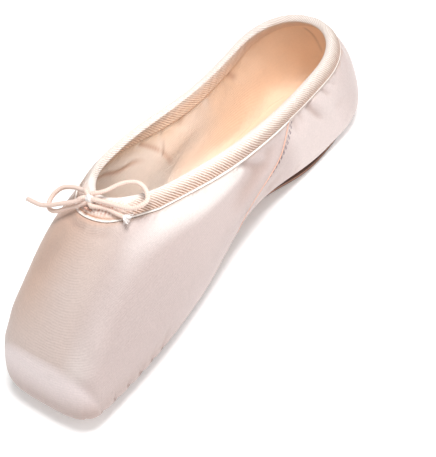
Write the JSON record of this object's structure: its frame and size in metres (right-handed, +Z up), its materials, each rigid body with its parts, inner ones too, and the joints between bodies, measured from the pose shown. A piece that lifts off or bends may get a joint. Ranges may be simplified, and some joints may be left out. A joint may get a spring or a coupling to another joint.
{
  "type": "pointe shoe",
  "caption": "Satin pointe shoe with a flat-ended stiff toe box, folded tape binding, tied drawstring and a thin leather outsole, standing empty on its sole.",
  "frame": {"origin": "centre of the shoe's box without the drawstring, on the floor under the sole", "axes": "+Y from the toe to the heel, +Z up, +X to the wearer's left; the toe points to -Y"},
  "size_m": [0.0732, 0.2377, 0.0792],
  "materials": {
    "satin": "pale pink satin, soft sheen",
    "tape": "pale pink cotton twill tape, matt",
    "sole_leather": "brown leather, smooth",
    "lining": "peach cotton lining, matt",
    "cord": "pale pink braided cotton cord, matt"
  },
  "bodies": {
    "root": {"upper": "satin", "collar_binding": "tape", "outsole": "sole_leather", "insole": "lining", "drawstring_knot": "cord", "drawstring_loop_left": "cord", "drawstring_loop_right": "cord", "drawstring_end_left": "cord", "drawstring_end_right": "cord"}
  },
  "joints": []
}
